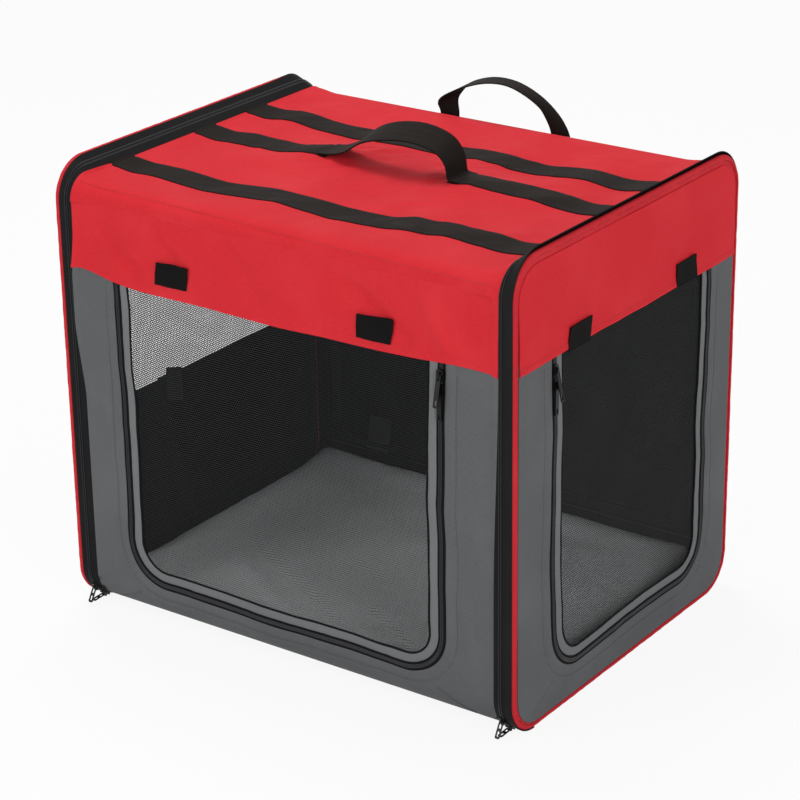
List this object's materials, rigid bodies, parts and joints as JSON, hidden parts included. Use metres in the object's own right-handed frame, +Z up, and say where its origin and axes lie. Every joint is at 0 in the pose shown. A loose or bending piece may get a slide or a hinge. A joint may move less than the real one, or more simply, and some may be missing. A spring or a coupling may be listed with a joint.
{
  "type": "pet travel crate",
  "caption": "Soft-sided folding pet travel crate: red roof and bands over grey walls, netting doors that unzip, two framed ends, webbing handles and a padded mat.",
  "frame": {"origin": "middle of the footprint at ground level, on the underside of the floor", "axes": "+X along the crate towards the end with a door, -Y out of the wide front, +Z up"},
  "size_m": [0.6183, 0.466, 0.5654],
  "materials": {
    "red_canvas": "red woven polyester canvas, matte with a slight sheen",
    "grey_canvas": "mid grey woven polyester canvas, matte",
    "black_canvas": "black coated woven polyester, matte",
    "light_grey_binding": "light grey folded binding tape, matte",
    "black_netting": "black knitted polyester netting, open holes of about 1 mm",
    "zip_tape": "black woven zip tape with a nylon coil",
    "black_webbing": "black woven polypropylene webbing, ribbed",
    "hook_and_loop": "black hook-and-loop tape, fuzzy and matte",
    "grey_fleece": "grey short-pile fleece over soft filling",
    "fibre_board": "grey pressed fibre board, plain",
    "steel_rod": "plain spring steel rod",
    "black_zinc": "black painted zinc casting, semi-gloss"
  },
  "bodies": {
    "base": {"floor_skin": "black_canvas", "floor_board": "fibre_board", "mat": "grey_fleece"},
    "front_wall": {"front_panel": "grey_canvas", "front_valance": "red_canvas", "front_rod_loop": "steel_rod", "front_zip_fixed": "zip_tape"},
    "front_door": {"front_zip_moving": "zip_tape", "front_door_edge": "light_grey_binding", "front_door_netting": "black_netting"},
    "back_wall": {"back_panel": "grey_canvas", "back_valance": "red_canvas", "back_rod_loop": "steel_rod", "back_inner_tab": "hook_and_loop"},
    "roof": {"roof_panel": "red_canvas", "roof_strap_front": "black_webbing", "roof_strap_middle_left": "black_webbing", "roof_strap_middle_right": "black_webbing", "roof_strap_back": "black_webbing"},
    "right_end": {"right_end_piping": "red_canvas", "right_end_rod": "steel_rod", "right_end_panel": "grey_canvas", "right_end_valance": "red_canvas", "right_end_zip_band": "zip_tape", "side_zip_fixed": "zip_tape", "right_end_zip_slider_1": "black_zinc", "right_end_zip_slider_2": "black_zinc"},
    "side_door": {"side_zip_moving": "zip_tape", "side_door_edge": "light_grey_binding", "side_door_netting": "black_netting"},
    "left_end": {"left_end_piping": "red_canvas", "left_end_rod": "steel_rod", "left_end_panel": "grey_canvas", "left_end_valance": "red_canvas", "left_end_zip_band": "zip_tape", "left_end_netting": "black_netting", "left_end_pocket": "grey_canvas", "left_end_zip_slider_1": "black_zinc", "left_end_zip_slider_2": "black_zinc"},
    "front_tab_left": {"front_tab_left": "hook_and_loop"},
    "front_tab_right": {"front_tab_right": "hook_and_loop"},
    "side_tab_front": {"side_tab_front": "hook_and_loop"},
    "side_tab_back": {"side_tab_back": "hook_and_loop"},
    "back_tab": {"back_tab": "hook_and_loop"},
    "left_end_pocket_tab": {"left_end_pocket_tab": "hook_and_loop"},
    "front_zip_slider_1": {"front_zip_slider_1": "black_zinc"},
    "front_zip_pull_1": {"front_zip_pull_1": "black_zinc"},
    "front_zip_slider_2": {"front_zip_slider_2": "black_zinc"},
    "front_zip_pull_2": {"front_zip_pull_2": "black_zinc"},
    "side_zip_slider_1": {"side_zip_slider_1": "black_zinc"},
    "side_zip_pull_1": {"side_zip_pull_1": "black_zinc"},
    "side_zip_slider_2": {"side_zip_slider_2": "black_zinc"},
    "side_zip_pull_2": {"side_zip_pull_2": "black_zinc"},
    "right_end_zip_pull_1": {"right_end_zip_pull_1": "black_zinc"},
    "right_end_zip_pull_2": {"right_end_zip_pull_2": "black_zinc"},
    "left_end_zip_pull_1": {"left_end_zip_pull_1": "black_zinc"},
    "left_end_zip_pull_2": {"left_end_zip_pull_2": "black_zinc"},
    "roof_handle": {"roof_handle": "black_webbing"},
    "back_handle": {"back_handle": "black_webbing"}
  },
  "joints": [
    {"name": "back_fold", "type": "hinge", "parent": "base", "child": "back_wall", "pos_m": [0, 0.2235, 0.05], "axis": [1, 0, 0], "range_deg": [-88, 0]},
    {"name": "front_fold", "type": "hinge", "parent": "base", "child": "front_wall", "pos_m": [0, -0.2255, 0.05], "axis": [1, 0, 0], "range_deg": [-88, 0]},
    {"name": "roof_fold", "type": "hinge", "parent": "back_wall", "child": "roof", "pos_m": [0, 0.2235, 0.493], "axis": [-1, 0, 0], "range_deg": [-88, 0]},
    {"name": "right_end_hinge", "type": "hinge", "parent": "base", "child": "right_end", "pos_m": [0.3, 0, 0.006], "axis": [0, 1, 0], "range_deg": [0, 90]},
    {"name": "left_end_hinge", "type": "hinge", "parent": "base", "child": "left_end", "pos_m": [-0.3, 0, 0.006], "axis": [0, -1, 0], "range_deg": [0, 90]},
    {"name": "front_door_hinge", "type": "hinge", "parent": "front_wall", "child": "front_door", "pos_m": [0, -0.2255, 0.4105], "axis": [-1, 0, 0], "range_deg": [0, 120]},
    {"name": "side_door_hinge", "type": "hinge", "parent": "right_end", "child": "side_door", "pos_m": [0.299, 0, 0.4105], "axis": [0, -1, 0], "range_deg": [0, 120]},
    {"name": "front_tab_left_hinge", "type": "hinge", "parent": "front_wall", "child": "front_tab_left", "pos_m": [-0.136, -0.22655, 0.414], "axis": [-1, 0, 0], "range_deg": [-170, 0]},
    {"name": "front_tab_right_hinge", "type": "hinge", "parent": "front_wall", "child": "front_tab_right", "pos_m": [0.129, -0.22655, 0.414], "axis": [-1, 0, 0], "range_deg": [-170, 0]},
    {"name": "side_tab_front_hinge", "type": "hinge", "parent": "right_end", "child": "side_tab_front", "pos_m": [0.30005, -0.106, 0.414], "axis": [0, -1, 0], "range_deg": [-170, 0]},
    {"name": "side_tab_back_hinge", "type": "hinge", "parent": "right_end", "child": "side_tab_back", "pos_m": [0.30005, 0.11, 0.414], "axis": [0, -1, 0], "range_deg": [-170, 0]},
    {"name": "back_tab_hinge", "type": "hinge", "parent": "back_wall", "child": "back_tab", "pos_m": [0.136, 0.22655, 0.4655], "axis": [1, 0, 0], "range_deg": [-170, 0]},
    {"name": "left_end_pocket_tab_hinge", "type": "hinge", "parent": "left_end", "child": "left_end_pocket_tab", "pos_m": [-0.30685, -0.052, 0.1936], "axis": [0, 1, 0], "range_deg": [-170, 0]},
    {"name": "front_zip_travel_1", "type": "slide", "parent": "front_door", "child": "front_zip_slider_1", "axis": [0, 0, -1], "range_m": [0, 0.26]},
    {"name": "front_zip_swing_1", "type": "hinge", "parent": "front_zip_slider_1", "child": "front_zip_pull_1", "pos_m": [0.211, -0.22925, 0.3982], "axis": [-1, 0, 0], "range_deg": [0, 140]},
    {"name": "front_zip_travel_2", "type": "slide", "parent": "front_door", "child": "front_zip_slider_2", "axis": [0, 0, -1], "range_m": [0, 0.26]},
    {"name": "front_zip_swing_2", "type": "hinge", "parent": "front_zip_slider_2", "child": "front_zip_pull_2", "pos_m": [0.211, -0.22925, 0.3822], "axis": [-1, 0, 0], "range_deg": [0, 140]},
    {"name": "side_zip_travel_1", "type": "slide", "parent": "side_door", "child": "side_zip_slider_1", "axis": [0, 0, -1], "range_m": [0, 0.26]},
    {"name": "side_zip_swing_1", "type": "hinge", "parent": "side_zip_slider_1", "child": "side_zip_pull_1", "pos_m": [0.30275, -0.152, 0.3982], "axis": [0, -1, 0], "range_deg": [0, 140]},
    {"name": "side_zip_travel_2", "type": "slide", "parent": "side_door", "child": "side_zip_slider_2", "axis": [0, 0, -1], "range_m": [0, 0.26]},
    {"name": "side_zip_swing_2", "type": "hinge", "parent": "side_zip_slider_2", "child": "side_zip_pull_2", "pos_m": [0.30275, -0.152, 0.3822], "axis": [0, -1, 0], "range_deg": [0, 140]},
    {"name": "right_end_zip_swing_1", "type": "hinge", "parent": "right_end", "child": "right_end_zip_pull_1", "pos_m": [0.2825, -0.20831, 0.00371], "axis": [-1, 0, 0], "range_deg": [-88, 0]},
    {"name": "right_end_zip_swing_2", "type": "hinge", "parent": "right_end", "child": "right_end_zip_pull_2", "pos_m": [0.2825, -0.2227, 0.01859], "axis": [-1, 0, 0], "range_deg": [0, 100]},
    {"name": "left_end_zip_swing_1", "type": "hinge", "parent": "left_end", "child": "left_end_zip_pull_1", "pos_m": [-0.2825, -0.20831, 0.00371], "axis": [-1, 0, 0], "range_deg": [-88, 0]},
    {"name": "left_end_zip_swing_2", "type": "hinge", "parent": "left_end", "child": "left_end_zip_pull_2", "pos_m": [-0.2825, -0.2227, 0.01859], "axis": [-1, 0, 0], "range_deg": [0, 100]},
    {"name": "roof_handle_hinge", "type": "hinge", "parent": "roof", "child": "roof_handle", "pos_m": [-0.004, 0, 0.5323], "axis": [1, 0, 0], "range_deg": [-80, 80]},
    {"name": "back_handle_hinge", "type": "hinge", "parent": "back_wall", "child": "back_handle", "pos_m": [0, 0.2273, 0.468], "axis": [1, 0, 0], "range_deg": [-165, 0]}
  ],
  "couplings": [
    {"joint": "front_fold", "follows": "back_fold", "ratio": 1},
    {"joint": "roof_fold", "follows": "back_fold", "ratio": 1},
    {"joint": "front_zip_travel_1", "follows": "front_zip_travel_2", "ratio": 1},
    {"joint": "side_zip_travel_1", "follows": "side_zip_travel_2", "ratio": 1},
    {"joint": "front_zip_swing_1", "follows": "front_zip_swing_2", "ratio": 1},
    {"joint": "side_zip_swing_1", "follows": "side_zip_swing_2", "ratio": 1}
  ]
}
